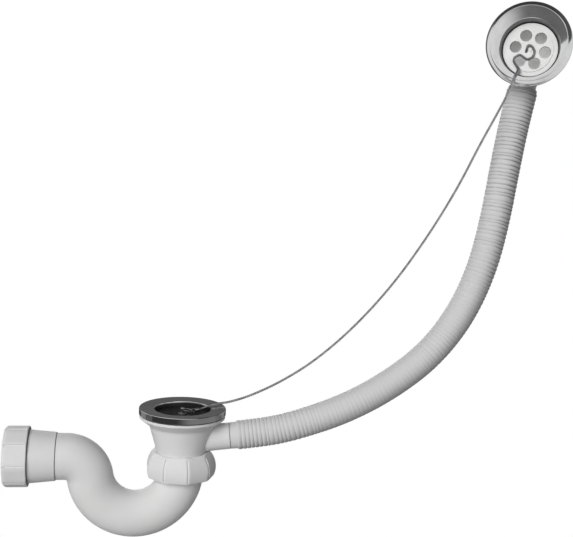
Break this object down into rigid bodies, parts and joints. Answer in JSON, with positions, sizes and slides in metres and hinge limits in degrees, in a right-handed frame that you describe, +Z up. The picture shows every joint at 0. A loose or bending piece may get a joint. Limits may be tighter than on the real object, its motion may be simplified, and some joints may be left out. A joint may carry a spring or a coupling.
{
  "type": "bath waste and overflow",
  "caption": "White plastic bath waste with a tubular trap, a chrome flange and plug, and a corrugated hose up to a round chrome overflow that holds the plug's chain.",
  "frame": {"origin": "on the waste's axis, in the plane of the chrome flange's underside, where it sits on the bath floor", "axes": "+Z up along the waste's axis, the trap's outlet points along -X, the overflow faces towards -Y"},
  "size_m": [0.4843, 0.0935, 0.4798],
  "materials": {
    "white_plastic": "satin white moulded plastic",
    "hose_plastic": "soft white corrugated plastic",
    "strainer_plastic": "smooth white plastic",
    "slip_plastic": "plain pale plastic",
    "chrome": "polished chrome plate",
    "chain_metal": "nickel plate, slightly dull",
    "hook_wire": "bent steel wire",
    "screw_steel": "plain stainless steel",
    "brass": "turned brass",
    "plug_rubber": "black moulded rubber",
    "seal_rubber": "dark sealing rubber"
  },
  "bodies": {
    "root": {"waste_flange": "chrome", "flange_seal": "seal_rubber", "body_washer": "seal_rubber", "waste_body": "white_plastic", "waste_screw": "screw_steel", "screw_insert": "brass", "plug": "plug_rubber", "plug_eye": "chain_metal", "plug_ring": "chain_metal", "trap_nut": "white_plastic", "trap_washer": "seal_rubber", "trap_bend": "white_plastic", "outlet_socket": "white_plastic", "outlet_seal": "seal_rubber", "outlet_slip_washer": "slip_plastic", "outlet_nut": "white_plastic", "overflow_hose": "hose_plastic", "overflow_bezel": "chrome", "overflow_face_seal": "seal_rubber", "overflow_washer": "seal_rubber", "overflow_body": "white_plastic", "overflow_strainer": "strainer_plastic", "chain_hook": "hook_wire", "chain_end_upper": "chain_metal", "chain_end_lower": "chain_metal", "plug_chain": "chain_metal"}
  },
  "joints": []
}
